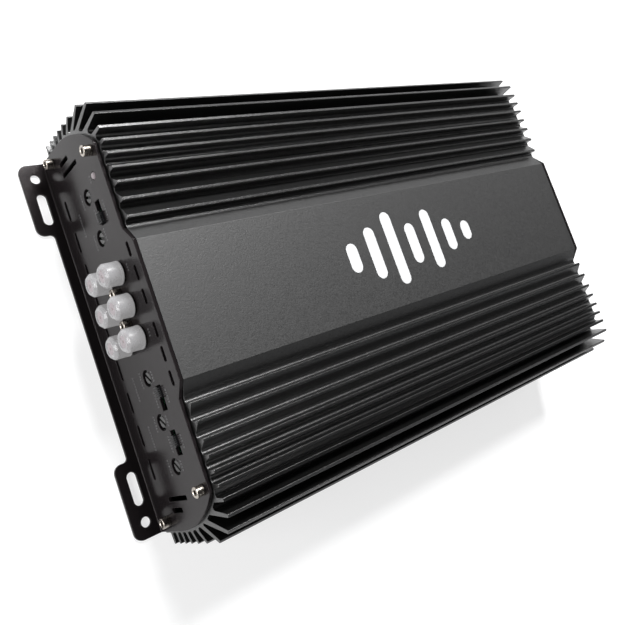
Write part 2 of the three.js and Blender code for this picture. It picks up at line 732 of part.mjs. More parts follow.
addTo(inputEnd, "power_led", turned(LED.profile, 16), MILKY_PLASTIC, [LED.u, LED.v, 0]);

addTo(outputEnd, "power_terminal_block", terminalBlock(POWER), BLACK_PLASTIC);
addTo(outputEnd, "speaker_terminal_block", terminalBlock(SPEAKER), BLACK_PLASTIC);
for (const [label, kind] of [
  ["power_clamp_screw", POWER],
  ["speaker_clamp_screw", SPEAKER],
]) {
  terminalPlaces(kind).forEach((u, i) => {
    addTo(outputEnd, `${label}_${i + 1}`, clampScrew(kind), NICKEL, [u, 0, kind.screw.w]);
  });
}
addTo(outputEnd, "fuse_block", fuseBlock(), BLACK_PLASTIC);
FUSE.at.forEach((offset, i) => {
  addTo(outputEnd, `fuse_${i + 1}`, fuse(), FUSE_ORANGE, [FUSE_BLOCK.u + offset, FUSE.v, 0]);
});

addTo(amplifier, "toroid", toroid(), COPPER, [TOROID.x, TOROID.y, BOARD_TOP]);
addTo(amplifier, "filter_capacitor", capacitor(), SLEEVE_BLACK, [CAPACITOR.x, CAPACITOR.y, BOARD_TOP]);
addTo(amplifier, "transistor_bank_1", transistorBank(1), BLACK_PLASTIC);
addTo(amplifier, "transistor_bank_2", transistorBank(-1), BLACK_PLASTIC);

export default amplifier;
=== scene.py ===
"""Looks for a car amplifier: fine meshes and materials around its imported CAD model.

Sizes are in millimetres until a mesh is made. Each end of the case has its own axes: u across,
v up and w outwards, with w = 0 on the end of the extrusion. They are the axes of the CAD model.
"""

import math

import bmesh
import bpy
import numpy as np
from mathutils import Matrix, Vector
from mathutils.geometry import delaunay_2d_cdt


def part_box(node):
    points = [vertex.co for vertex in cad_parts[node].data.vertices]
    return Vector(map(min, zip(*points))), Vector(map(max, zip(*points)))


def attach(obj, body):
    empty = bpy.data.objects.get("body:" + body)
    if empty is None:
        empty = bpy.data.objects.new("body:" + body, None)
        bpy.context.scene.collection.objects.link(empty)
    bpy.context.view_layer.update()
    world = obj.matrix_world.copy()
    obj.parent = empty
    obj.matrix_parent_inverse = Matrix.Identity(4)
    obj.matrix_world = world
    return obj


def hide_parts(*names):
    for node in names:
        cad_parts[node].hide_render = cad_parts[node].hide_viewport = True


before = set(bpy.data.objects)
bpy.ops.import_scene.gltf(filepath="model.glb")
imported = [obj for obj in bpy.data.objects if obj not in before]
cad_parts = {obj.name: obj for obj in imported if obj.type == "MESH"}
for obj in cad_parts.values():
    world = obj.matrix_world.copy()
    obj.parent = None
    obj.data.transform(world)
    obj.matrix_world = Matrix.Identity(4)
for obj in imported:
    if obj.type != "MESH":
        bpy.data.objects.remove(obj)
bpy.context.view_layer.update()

MM = 0.001
CASE_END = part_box("heatsink")[1].x / MM
ARC_STEP = math.radians(12)
SHARP_ANGLE = math.radians(30)
QUARTER_TURN = math.pi / 2
TINY = 1e-6

# ---------------------------------------------------------------- camera
CAMERA_PLACE = (-0.2801, -0.0374, 0.3229)
CAMERA_RIGHT = Vector((0.7505, -0.3340, 0.5702))
CAMERA_UP = Vector((0.2034, 0.9378, 0.2815))
CAMERA_LENS = 42.14
CAMERA_SHIFT = (0.0014, -0.0502)


def add_camera():
    data = bpy.data.cameras.new("camera")
    data.lens = CAMERA_LENS
    data.shift_x, data.shift_y = CAMERA_SHIFT
    data.clip_start = 0.01
    camera = bpy.data.objects.new("camera", data)
    right = CAMERA_RIGHT.normalized()
    back = right.cross(CAMERA_UP).normalized()
    turn = Matrix((right, back.cross(right), back)).transposed()
    camera.matrix_world = Matrix.Translation(CAMERA_PLACE) @ turn.to_4x4()
    bpy.context.collection.objects.link(camera)
    bpy.context.scene.camera = camera


# ---------------------------------------------------------------- places
def at_section(a, b, w):
    """A section drawn in Y and Z, extruded along X."""
    return (w, a, b)


def at_input(u, v, w):
    return (-CASE_END - w, -u, v)


def at_output(u, v, w):
    return (CASE_END + w, u, v)


def moved(place, u, v, turn=0.0):
    """The same place, with its origin moved to u, v and turned about w."""
    cos, sin = math.cos(turn), math.sin(turn)

    def to(a, b, w):
        return place(u + a * cos - b * sin, v + a * sin + b * cos, w)

    return to


# ---------------------------------------------------------------- outlines
def arc(centre, radius, start, sweep, steps=None):
    steps = steps or max(2, math.ceil(abs(sweep) / ARC_STEP))
    angles = [start + sweep * i / steps for i in range(steps + 1)]
    return [(centre[0] + radius * math.cos(t), centre[1] + radius * math.sin(t)) for t in angles]


def circle(centre, radius, steps=48):
    return arc(centre, radius, 0, 2 * math.pi, steps)[1:]


def rounded_corner(before, corner, after, radius):
    here = Vector(corner)
    to_before = (Vector(before) - here).normalized()
    to_after = (Vector(after) - here).normalized()
    half = to_before.angle(to_after) / 2
    centre = here + (to_before + to_after).normalized() * radius / math.sin(half)
    first = here + to_before * radius / math.tan(half) - centre
    turn = 1 if to_before.x * to_after.y - to_before.y * to_after.x < 0 else -1
    start = math.atan2(first.y, first.x)
    return arc(centre, radius, start, turn * (math.pi - 2 * half))


def filleted(corners, closed=True):
    """An outline through corners of (a, b) or (a, b, radius)."""
    points = []
    for i, corner in enumerate(corners):
        on_end = not closed and i in (0, len(corners) - 1)
        if len(corner) < 3 or corner[2] == 0 or on_end:
            points.append(corner[:2])
            continue
        before = corners[i - 1][:2]
        after = corners[(i + 1) % len(corners)][:2]
        points += rounded_corner(before, corner[:2], after, corner[2])
    return points


def with_mirror(half):
    return half + [(-corner[0], *corner[1:]) for corner in reversed(half)]


def rectangle(u0, u1, v0, v1, radius):
    return filleted([(u0, v0, radius), (u1, v0, radius), (u1, v1, radius), (u0, v1, radius)])


def slot(u, v, length, width):
    half = (length - width) / 2
    right = arc((u + half, v), width / 2, -QUARTER_TURN, math.pi)
    left = arc((u - half, v), width / 2, QUARTER_TURN, math.pi)
    return right + left


# ---------------------------------------------------------------- meshes
def turned_left(loop):
    """The loop's points, each with the unit vector to the left of it, stretched at corners."""
    points = np.array(loop, float)
    ahead = np.roll(points, -1, 0) - points
    ahead /= np.linalg.norm(ahead, axis=1)[:, None]
    normal = np.stack([-ahead[:, 1], ahead[:, 0]], 1)
    both = normal + np.roll(normal, 1, 0)
    length = (both**2).sum(1)[:, None]
    return points, 2 * both / length


def area(loop):
    points = np.array(loop, float)
    after = np.roll(points, -1, 0)
    return (points[:, 0] * after[:, 1] - points[:, 1] * after[:, 0]).sum() / 2


def inside(loops, spots):
    """True for each spot that lies inside an odd number of the loops."""
    odd = np.zeros(len(spots), bool)
    for loop in loops:
        after = np.roll(loop, -1, 0)
        for (a0, b0), (a1, b1) in zip(loop, after):
            spans = (b0 > spots[:, 1]) != (b1 > spots[:, 1])
            rise = b1 - b0 if b1 != b0 else 1
            reach = a0 + (spots[:, 1] - b0) * (a1 - a0) / rise
            odd ^= spans & (spots[:, 0] < reach)
    return odd


def filled(loops, ties=()):
    """Triangles that fill the loops. Ties are pairs of points of the first loop to join."""
    points = np.concatenate(loops)
    edges = list(ties)
    start = 0
    for loop in loops:
        count = len(loop)
        edges += [(start + i, start + (i + 1) % count) for i in range(count)]
        start += count
    flat = [Vector(p) for p in points.tolist()]
    _, _, triangles, origin, _, _ = delaunay_2d_cdt(flat, edges, [], 0, 1e-7)
    index = [first[0] for first in origin]
    triangles = np.array([[index[i] for i in t] for t in triangles])
    return triangles[inside(loops, points[triangles].mean(1))].tolist()


def slab(outer, holes, back, front, edge, place, ties=(), steps=3):
    """Points and faces of a slab from w = back to w = front, with all its edges rounded."""
    loops = [outer if area(outer) > 0 else outer[::-1]]
    loops += [hole if area(hole) < 0 else hole[::-1] for hole in holes]
    turns = [QUARTER_TURN * i / steps for i in range(steps + 1)]
    rows = [(edge * (1 - math.sin(t)), back + edge * (1 - math.cos(t))) for t in turns]
    rows += [(inset, front + back - w) for inset, w in reversed(rows)]
    offsets = [turned_left(loop) for loop in loops]
    total = sum(len(loop) for loop in loops)
    points, faces = [], []
    for inset, w in rows:
        for spots, normals in offsets:
            points += [place(a, b, w) for a, b in (spots + inset * normals).tolist()]
    start = 0
    for loop in loops:
        count = len(loop)
        for row in range(len(rows) - 1):
            low, high = row * total + start, (row + 1) * total + start
            for i in range(count):
                j = (i + 1) % count
                faces.append((low + i, low + j, high + j, high + i))
        start += count
    cap = filled([spots + edge * normals for spots, normals in offsets], ties)
    top = (len(rows) - 1) * total
    faces += cap
    faces += [tuple(top + i for i in triangle) for triangle in cap]
    return points, faces


def loft(rings):
    """Joins rings of points, each with as many points as the next, or one point as a pole."""
    points, faces, start = [], [], 0
    for ring in rings:
        points += ring
    for ring, after in zip(rings, rings[1:]):
        next_start = start + len(ring)
        count = max(len(ring), len(after))
        for i in range(count):
            j = (i + 1) % count
            low = [start + i, start + j] if len(ring) > 1 else [start]
            high = [next_start + j, next_start + i] if len(after) > 1 else [next_start]
            faces.append(tuple(low + high))
        start = next_start
    return points, faces


def profile_rings(corners, place, count):
    """A ring of points for each corner of a (radius, w) profile, or one point on the axis."""
    rings = []
    for radius, w in filleted(corners, closed=False):
        if radius < TINY:
            rings.append([place(0, 0, w)])
        else:
            rings.append([place(a, b, w) for a, b in circle((0, 0), radius, count)])
    return rings


def turned(corners, place, count=48):
    """A profile of (radius, w) or (radius, w, fillet) from the axis and back to it, turned."""
    return loft(profile_rings(corners, place, count))


def turned_ring(corners, place, count=48):
    """A closed profile that stays clear of the axis, turned."""
    return turned(corners + corners[:1], place, count)


def together(*parts):
    points, faces = [], []
    for more_points, more_faces in parts:
        faces += [tuple(len(points) + i for i in face) for face in more_faces]
        points += more_points
    return points, faces


def add_piece(name, shape, material, body, nodes=()):
    """Makes a piece from points in millimetres and faces, which rides on a body."""
    points, faces = shape
    mesh = bpy.data.meshes.new(name)
    mesh.from_pydata([Vector(p) * MM for p in points], [], faces)
    work = bmesh.new()
    work.from_mesh(mesh)
    bmesh.ops.recalc_face_normals(work, faces=work.faces)
    work.to_mesh(mesh)
    work.free()
    mesh.shade_smooth()
    mesh.set_sharp_from_angle(angle=SHARP_ANGLE)
    mesh.materials.append(material)
    piece = bpy.data.objects.new(name, mesh)
    bpy.context.collection.objects.link(piece)
    weigh = piece.modifiers.new("even_normals", "WEIGHTED_NORMAL")
    weigh.keep_sharp = True
    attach(piece, body)
    if nodes:
        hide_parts(*nodes)
    return piece


# ---------------------------------------------------------------- materials
NOISE_RANGE = (0.3, 0.7)  # most values of a noise texture lie in it


class Surface:
    """A material with one Principled shader, and short ways to add texture to it."""

    def __init__(self, name, **values):
        self.material = bpy.data.materials.new(name)
        self.material.use_nodes = True
        self.nodes = self.material.node_tree.nodes
        self.links = self.material.node_tree.links
        self.shader = self.nodes["Principled BSDF"]
        self.coords = self.nodes.new("ShaderNodeTexCoord").outputs["Object"]
        for key, value in values.items():
            self.shader.inputs[key.replace("_", " ")].default_value = value

    def stretched(self, scale):
        node = self.nodes.new("ShaderNodeMapping")
        node.inputs["Scale"].default_value = scale
        self.links.new(self.coords, node.inputs["Vector"])
        return node.outputs["Vector"]

    def noise(self, size, detail, stretch=None):
        """Noise whose lumps are about size millimetres across."""
        node = self.nodes.new("ShaderNodeTexNoise")
        node.inputs["Scale"].default_value = 1 / (size * MM)
        node.inputs["Detail"].default_value = detail
        vector = self.stretched(stretch) if stretch else self.coords
        self.links.new(vector, node.inputs["Vector"])
        return node.outputs["Fac"]

    def ramp(self, value, low, high, to_low, to_high):
        node = self.nodes.new("ShaderNodeMapRange")
        for key, number in zip(("From Min", "From Max", "To Min", "To Max"),
                               (low, high, to_low, to_high)):
            node.inputs[key].default_value = number
        self.links.new(value, node.inputs["Value"])
        return node.outputs["Result"]

    def blend(self, value, first, second):
        node = self.nodes.new("ShaderNodeMix")
        node.data_type = "RGBA"
        node.inputs["A"].default_value = (*first, 1)
        node.inputs["B"].default_value = (*second, 1)
        self.links.new(value, node.inputs["Factor"])
        return node.outputs["Result"]

    def away_from_middle(self, near, far):
        """0 within near millimetres of the middle, measured along Y, and 1 beyond far."""
        split = self.nodes.new("ShaderNodeSeparateXYZ")
        self.links.new(self.coords, split.inputs["Vector"])
        side = self.nodes.new("ShaderNodeMath")
        side.operation = "ABSOLUTE"
        self.links.new(split.outputs["Y"], side.inputs[0])
        return self.ramp(side.outputs["Value"], near * MM, far * MM, 0, 1)

    def between(self, value, first, second):
        """The first number where value is 0, and the second where it is 1."""
        node = self.nodes.new("ShaderNodeMix")
        for key, source in zip(("Factor", "A", "B"), (value, first, second)):
            self.links.new(source, node.inputs[key])
        return node.outputs["Result"]

    def total(self, first, second, mode="ADD"):
        """The sum of two values, or their product with mode MULTIPLY."""
        node = self.nodes.new("ShaderNodeMath")
        node.operation = mode
        for socket, value in zip(node.inputs, (first, second)):
            if isinstance(value, (int, float)):
                socket.default_value = value
            else:
                self.links.new(value, socket)
        return node.outputs["Value"]

    def colour(self, value, first, second):
        self.links.new(self.blend(value, first, second), self.shader.inputs["Base Color"])

    def roughness(self, value, low, high):
        rough = self.ramp(value, *NOISE_RANGE, low, high)
        self.links.new(rough, self.shader.inputs["Roughness"])

    def bump(self, height, depth, strength):
        """Raises the surface by height times depth millimetres."""
        node = self.nodes.new("ShaderNodeBump")
        node.inputs["Strength"].default_value = strength
        node.inputs["Distance"].default_value = depth * MM
        self.links.new(height, node.inputs["Height"])
        self.links.new(node.outputs["Normal"], self.shader.inputs["Normal"])


PLATEAU_REACH = (33.5, 35.0)  # where the blasted finish of the top fades out, in Y


def blasted_black():
    """Satin black on the extrusion: sand-blasted on the plateau, smoother on the fins."""
    surface = Surface("blasted_black", Specular_IOR_Level=0.8)
    grain = surface.noise(0.45, 3)
    lumps = surface.noise(1.1, 2)
    surface.colour(surface.total(grain, lumps, "MULTIPLY"), (0.001, 0.001, 0.001),
                   (0.004, 0.004, 0.004))
    away = surface.away_from_middle(*PLATEAU_REACH)
    blasted = surface.ramp(lumps, *NOISE_RANGE, 0.48, 0.62)
    smooth = surface.ramp(lumps, *NOISE_RANGE, 0.3, 0.38)
    surface.links.new(surface.between(away, blasted, smooth), surface.shader.inputs["Roughness"])
    surface.bump(surface.total(grain, surface.total(lumps, 0.6, "MULTIPLY")), 0.09, 0.8)
    return surface.material


def powder_black():
    """Semi-gloss black powder coat on the folded plates."""
    surface = Surface("powder_black", IOR=1.22, Specular_Tint=(1, 0.93, 0.94, 1))
    peel = surface.noise(1.4, 2)
    fine = surface.noise(0.25, 2)
    surface.colour(fine, (0.005, 0.0042, 0.0044), (0.011, 0.0092, 0.0098))
    surface.roughness(peel, 0.17, 0.22)
    surface.bump(surface.total(peel, surface.total(fine, 0.4, "MULTIPLY")), 0.02, 0.35)
    return surface.material


def nickel():
    surface = Surface("nickel", Metallic=1.0)
    stain = surface.noise(2.5, 3)
    scuff = surface.noise(0.2, 4)
    surface.colour(stain, (0.26, 0.23, 0.2), (0.42, 0.39, 0.35))
    surface.roughness(scuff, 0.16, 0.3)
    surface.bump(scuff, 0.01, 0.2)
    return surface.material


def moulded_black():
    surface = Surface("moulded_black", Specular_IOR_Level=0.25)
    grain = surface.noise(0.3, 3)
    surface.colour(grain, (0.006, 0.006, 0.0065), (0.014, 0.014, 0.015))
    surface.roughness(grain, 0.36, 0.52)
    surface.bump(grain, 0.02, 0.35)
    return surface.material


def milky():
    """Milky translucent polythene. Its faint glow is painted light: it stands for the light that
    the plastic scatters inside, and it lifts the caps where they lie in shade.
    """
    surface = Surface("milky", Alpha=0.66, IOR=1.5, Emission_Strength=0.18,
                      Emission_Color=(1, 0.98, 0.97, 1))
    cloud = surface.noise(3, 2)
    surface.colour(cloud, (0.17, 0.17, 0.177), (0.21, 0.21, 0.22))
    surface.roughness(cloud, 0.2, 0.24)
    surface.bump(cloud, 0.004, 0.1)
    return surface.material


def milky_shade():
    """The thicker, greyer plastic of the light and of the disc in the end of each dust cap. Its
    faint pinkish glow is painted light.
    """
    surface = Surface("milky_shade", Alpha=0.85, IOR=1.5, Emission_Strength=0.08,
                      Emission_Color=(1, 0.9, 0.93, 1))
    cloud = surface.noise(2, 2)
    surface.colour(cloud, (0.16, 0.135, 0.145), (0.2, 0.17, 0.18))
    surface.roughness(cloud, 0.27, 0.31)
    surface.bump(cloud, 0.004, 0.1)
    return surface.material


def grey_metal():
    """Dark trimmer shafts."""
    surface = Surface("grey_metal", Specular_IOR_Level=0.4)
    grain = surface.noise(0.25, 3)
    surface.colour(grain, (0.02, 0.02, 0.02), (0.04, 0.039, 0.038))
    surface.roughness(grain, 0.3, 0.42)
    surface.bump(grain, 0.02, 0.3)
    return surface.material


def white_ink():
    surface = Surface("white_ink")
    grain = surface.noise(0.5, 3)
    surface.colour(grain, (0.42, 0.425, 0.43), (0.5, 0.505, 0.51))
    surface.roughness(grain, 0.4, 0.55)
    surface.bump(grain, 0.03, 0.3)
    return surface.material


def grey_ink():
    surface = Surface("grey_ink")
    grain = surface.noise(0.3, 2)
    surface.colour(grain, (0.04, 0.04, 0.042), (0.06, 0.06, 0.062))
    surface.roughness(grain, 0.3, 0.4)
    return surface.material


def circuit_green():
    surface = Surface("circuit_green", Specular_IOR_Level=0.5)
    weave = surface.noise(0.6, 2)
    tracks = surface.noise(4, 1)
    surface.colour(surface.ramp(tracks, 0.48, 0.52, 0, 1), (0.012, 0.07, 0.03),
                   (0.02, 0.11, 0.045))
    surface.roughness(weave, 0.25, 0.35)
    surface.bump(weave, 0.02, 0.3)
    return surface.material


def plain_plastic(name, dark, light):
    surface = Surface(name)
    grain = surface.noise(0.4, 3)
    surface.colour(grain, dark, light)
    surface.roughness(grain, 0.3, 0.45)
    surface.bump(grain, 0.02, 0.3)
    return surface.material


def copper_wound():
    """Enamelled wire, wound closely round a ring."""
    surface = Surface("copper_wound", Metallic=0.8)
    strands = surface.noise(0.8, 2, stretch=(1, 1, 0.1))
    surface.colour(strands, (0.28, 0.09, 0.03), (0.62, 0.27, 0.11))
    surface.roughness(strands, 0.25, 0.45)
    surface.bump(strands, 0.2, 0.6)
    return surface.material


def pale_floor():
    surface = Surface("pale_floor", Roughness=0.75, Emission_Strength=0.65,
                      Emission_Color=(1, 1, 1, 1))
    surface.colour(surface.noise(30, 3), (0.36, 0.36, 0.362), (0.39, 0.39, 0.392))
    return surface.material


BLASTED_BLACK = blasted_black()
POWDER_BLACK = powder_black()
NICKEL = nickel()
MILKY_SHADE = milky_shade()
MOULDED_BLACK = moulded_black()
MILKY = milky()
GREY_METAL = grey_metal()
WHITE_INK = white_ink()
GREY_INK = grey_ink()
CIRCUIT_GREEN = circuit_green()
RED_PLASTIC = plain_plastic("red_plastic", (0.4, 0.012, 0.015), (0.5, 0.02, 0.025))
WHITE_PLASTIC = plain_plastic("white_plastic", (0.7, 0.7, 0.68), (0.8, 0.8, 0.78))
ORANGE_PLASTIC = plain_plastic("orange_plastic", (0.75, 0.16, 0.02), (0.85, 0.22, 0.04))
ROSE_PLASTIC = plain_plastic("rose_plastic", (0.13, 0.08, 0.09), (0.18, 0.11, 0.12))
GREY_PLASTIC = plain_plastic("grey_plastic", (0.1, 0.1, 0.1), (0.16, 0.16, 0.16))
SLEEVE_BLUE = plain_plastic("sleeve_blue", (0.01, 0.012, 0.03), (0.018, 0.02, 0.045))
COPPER_WOUND = copper_wound()

# ---------------------------------------------------------------- extrusion
PLATEAU = {"top": 63.2, "half": 29.5, "edge": 0.35}
ROOF = {"top": 58.5, "start": 36.0, "edge": 3.0}
FOOT = 1.5
WALL = 3.0
SHOULDER = (37.3, 21.9)
SHOULDER_RADIUS = 52.8
SIDE_WALL = SHOULDER[0] + SHOULDER_RADIUS
INNER_WALL = SIDE_WALL - WALL
FIN_EDGE = 0.3
FOOT_EDGE = 0.3
GROOVE_EDGE = 0.2
SAWN_EDGE = 0.15
# Crest Y and Z, lean, how far the inner and the outer flank open out, the root radius, the
# thickness at the crest and the slope of the crest
FINS = (
    (39.4, 62.1, 0, 3, 50, 1.2, 1.2, 0),
    (46.9, 62.7, 0, 3, 41, 1.2, 1.2, 0),
    (54.2, 62.9, 0, 3, 33, 1.2, 1.2, 0),
    (60.6, 63.0, 0, 3, 19, 1.4, 1.2, 0),
    (66.8, 63.1, 0, 3, 8, 1.5, 1.3, 0),
    (72.5, 63.1, 1, 2, 3, 1.5, 1.4, 0),
    (78.2, 63.0, 3, 2, 2, 1.4, 1.5, 7),
    (84.6, 62.6, 9, 2, 2, 1.1, 1.5, 29),
    (91.0, 58.5, 17, 1.5, 1.5, 0.6, 1.6, 42),
    (94.7, 49.1, 31, 1.5, 2, 0.6, 1.5, 37),
    (95.0, 37.9, 46, 2, 2, 0.9, 1.4, 46),
    (95.2, 30.1, 60, 3, 2, 0.9, 1.3, 60),
    (95.2, 23.9, 69, 3, 3, 0.9, 1.3, 69),
    (95.2, 18.2, 78, 3, 3, 0.9, 1.3, 78),
    (95.2, 12.8, 84, 3, 3, 0.9, 1.3, 84),
    (95.2, 7.3, 88, 3, 3, 0.9, 1.3, 88),
)
RAIL_REACH = 82.5
GROOVES = ((2.7, 4.5), (6.1, 8.3))
LOWER_BOSS = {"reach": 80.3, "top": 16.9, "edge": 2.5}
UPPER_BOSS = {"from": 34, "inner": (73.2, 48.4), "middle": (68.0, 51.6), "edge": 2.0}
CHANNEL_RADIUS = 1.8
CORNER_SCREWS = ((72.6, 52.9, "upper"), (84.1, 12.6, "lower"))


def meet_skin(y, z, down_y, down_z):
    """Where a fin's flank, from its crest downwards, meets the skin."""
    roof_end = SHOULDER[0] + math.sqrt(SHOULDER_RADIUS**2 - (ROOF["top"] - SHOULDER[1]) ** 2)
    on_roof = y + down_y * (ROOF["top"] - z) / down_z
    if z > ROOF["top"] and on_roof < roof_end:
        return on_roof, ROOF["top"]
    from_y, from_z = y - SHOULDER[0], z - SHOULDER[1]
    along = from_y * down_y + from_z * down_z
    beyond = from_y**2 + from_z**2 - SHOULDER_RADIUS**2
    reach = -along - math.sqrt(along**2 - beyond)
    if reach > 0 and z + down_z * reach > SHOULDER[1]:
        return y + down_y * reach, z + down_z * reach
    return SIDE_WALL, z + down_z * (SIDE_WALL - y) / down_y


def fin_corners(y, z, lean, inner, outer, root, thickness, slope):
    lean, slope = math.radians(lean), math.radians(slope)
    half = thickness / math.cos(slope - lean) / 2
    edges = []
    for side, opening in ((-1, inner), (1, outer)):
        tip = (y + side * math.cos(slope) * half, z - side * math.sin(slope) * half)
        flank = lean - side * math.radians(opening)
        foot = meet_skin(*tip, -math.sin(flank), -math.cos(flank))
        edges.append([(*foot, root), (*tip, FIN_EDGE)])
    return edges[0] + edges[1][::-1]


def inside_corners():
    """The right half of the section's inside, from its foot to the middle of the roof."""
    roof = ROOF["top"] - WALL
    inset = WALL * 0.4  # keeps the wall even along the plateau's sloping shoulder
    reach = LOWER_BOSS["reach"]
    (low, low_top), (high, high_top) = GROOVES
    return [
        (RAIL_REACH, FOOT, GROOVE_EDGE),
        (RAIL_REACH, low, GROOVE_EDGE), (INNER_WALL, low), (INNER_WALL, low_top),
        (RAIL_REACH, low_top, GROOVE_EDGE),
        (RAIL_REACH, high, GROOVE_EDGE), (INNER_WALL, high), (INNER_WALL, high_top),
        (reach, high_top, 0.3),
        (reach, LOWER_BOSS["top"], LOWER_BOSS["edge"]),
        (INNER_WALL, LOWER_BOSS["top"], 1),
        *arc(SHOULDER, SHOULDER_RADIUS - WALL, 0, math.radians(UPPER_BOSS["from"]), 24),
        (*UPPER_BOSS["inner"], UPPER_BOSS["edge"]),
        (*UPPER_BOSS["middle"], UPPER_BOSS["edge"]),
        (UPPER_BOSS["middle"][0], roof, 1),
        (ROOF["start"] - inset, roof, 2),
        (PLATEAU["half"] - inset, PLATEAU["top"] - WALL, 2),
    ]


def add_heatsink():
    outside = [(PLATEAU["half"], PLATEAU["top"], PLATEAU["edge"]),
               (ROOF["start"], ROOF["top"], ROOF["edge"])]
    for fin in FINS:
        outside += fin_corners(*fin)
    outside.append((SIDE_WALL, FOOT, FOOT_EDGE))
    section = filleted(with_mirror(outside + inside_corners()))
    channels = [
        circle((side * u, v), CHANNEL_RADIUS, 32) for u, v, _ in CORNER_SCREWS for side in (1, -1)
    ]
    shape = slab(section, channels, -CASE_END, CASE_END, SAWN_EDGE, at_section)
    add_piece("heatsink_extrusion", shape, BLASTED_BLACK, "case",
              ["heatsink"])


# ---------------------------------------------------------------- end plates
PLATE_BACK = 0.3
PLATE_FRONT = 1.8
SHEET = PLATE_FRONT - PLATE_BACK
SHEET_EDGE = 0.22
BEND = 0.8
BEND_STEPS = 8
BEND_PLACE = (PLATE_FRONT + BEND, SHEET + BEND)
BEND_LENGTH = (BEND + SHEET / 2) * QUARTER_TURN
PLATE = {"half": 89.0, "top": 57.7, "crown": 63.6, "crown_half": 29.6, "crown_foot": 36.3}
PLATE_CORNER = 2.5
FLANGE_REACH = 6.7
EAR = {"reach": 14.1, "inner": 54.4, "radius": 4.0, "fillet": 2.0}
EAR_HOLE = {"u": 82.0, "w": 7.3, "radius": 2.3}
EAR_SLOT = {"u": 66.8, "w": 7.3, "length": 15.2, "width": 4.6}
TOP_VENTS = {"at": (7.0, 17.2, 27.3), "v": 57.6, "length": 6.4, "width": 2.2}
LOW_VENTS = {"pitch": 15.2, "each_side": 4, "v": 12.1, "length": 9.6, "width": 2.2}
# Each upright vent: middle U, half its width, bottom and top
SIDE_VENTS = ((75.0, 1.0, 19.1, 36.6), (80.0, 1.05, 19.3, 29.2))
SIDE_VENT_CORNER = 0.6
CROWN_CORNER = 0.5

RCA_COLUMNS = (-21.4, -7.3, 6.75)
RCA_ROWS = {"upper": 44.0, "lower": 30.0}
RCA_HOLE = 4.6
RCA_SCREWS = (-14.3, -0.25)
RCA_SCREW_V = 37.0
# Each trimmer: U, and the angle of its slot in degrees
POTS = ((-58.0, -20), (-39.2, -20), (23.5, -45), (42.7, -40), (61.8, -45))
POT_V = 36.3
POT_HOLE = 3.6
# Each switch: the middle of its slot in U, and how far from it the knob rests
SWITCHES = ((-48.55, 2.4), (33.2, -2.4), (52.25, -0.75))
SWITCH_V = 43.6
SWITCH_SLOT = {"length": 10.6, "width": 4.4, "corner": 0.25}
LED = (-63.1, 48.2)
LED_HOLE = 1.75


def developed(w):
    """How far down the unfolded sheet a place on the flange lies."""
    return BEND_PLACE[1] - BEND_LENGTH - (w - BEND_PLACE[0])


def folded(place):
    """Folds the unfolded sheet, drawn in u and v, round its bend and out along the flange."""

    def to(u, v, w):
        below = BEND_PLACE[1] - v
        if below <= 0:
            return place(u, v, w)
        radius = BEND_PLACE[0] - w
        if below < BEND_LENGTH:
            turn = QUARTER_TURN * below / BEND_LENGTH
            return place(u, BEND_PLACE[1] - radius * math.sin(turn),
                         BEND_PLACE[0] - radius * math.cos(turn))
        return place(u, BEND_PLACE[1] - radius, BEND_PLACE[0] + below - BEND_LENGTH)

    return to


def bend_levels():
    """The heights, on the unfolded sheet, of the lines along which it bends."""
    steps = range(BEND_STEPS + 1)
    return [BEND_PLACE[1] - BEND_LENGTH * (1 - i / BEND_STEPS) for i in steps]


def plate_outline():
    """The right half of the unfolded plate, from the middle of its flange to its crown."""
    radius = PLATE["half"] - SHOULDER[0]
    corner_v = PLATE["top"] - PLATE_CORNER
    corner_u = SHOULDER[0] + math.sqrt((radius - PLATE_CORNER) ** 2 - (corner_v - SHOULDER[1]) ** 2)
    turn = math.atan2(corner_v - SHOULDER[1], corner_u - SHOULDER[0])
    shoulder = arc(SHOULDER, radius, 0, turn, 24)
    corner = arc((corner_u, corner_v), PLATE_CORNER, turn, QUARTER_TURN - turn, 8)[1:]
    bend = [(PLATE["half"], level) for level in bend_levels()]
    foot, reach = developed(FLANGE_REACH), developed(EAR["reach"])
    return [
        (EAR["inner"], foot, EAR["fillet"]),
        (EAR["inner"], reach, EAR["radius"]),
        (PLATE["half"], reach, EAR["radius"]),
        *bend,
        *shoulder,
        *corner,
        (PLATE["crown_foot"], PLATE["top"], CROWN_CORNER),
        (PLATE["crown_half"], PLATE["crown"], CROWN_CORNER),
    ]


def plate_holes():
    each_side = LOW_VENTS["each_side"]
    holes = [slot(i * LOW_VENTS["pitch"], LOW_VENTS["v"], LOW_VENTS["length"], LOW_VENTS["width"])
             for i in range(-each_side, each_side + 1)]
    for side in (1, -1):
        holes += [slot(side * u, TOP_VENTS["v"], TOP_VENTS["length"], TOP_VENTS["width"])
                  for u in TOP_VENTS["at"]]
        holes += [rectangle(side * u - half, side * u + half, low, high, SIDE_VENT_CORNER)
                  for u, half, low, high in SIDE_VENTS]
        holes += [circle((side * u, v), CHANNEL_RADIUS) for u, v, _ in CORNER_SCREWS]
        holes.append(slot(side * EAR_SLOT["u"], developed(EAR_SLOT["w"]),
                          EAR_SLOT["length"], EAR_SLOT["width"]))
        holes.append(circle((side * EAR_HOLE["u"], developed(EAR_HOLE["w"])), EAR_HOLE["radius"]))
    return holes


def add_end_plate(name, place, openings):
    outline = filleted(with_mirror(plate_outline()))
    if area(outline) < 0:
        outline = outline[::-1]
    ties = []
    for level in bend_levels():
        ends = [i for i, (u, v) in enumerate(outline)
                if abs(v - level) < TINY and abs(abs(u) - PLATE["half"]) < TINY]
        ties.append(tuple(ends[:2]))
    shape = slab(outline, plate_holes() + openings, PLATE_BACK, PLATE_FRONT, SHEET_EDGE,
                 folded(place), ties)
    add_piece(f"{name}_sheet", shape, POWDER_BLACK, "case", [name])


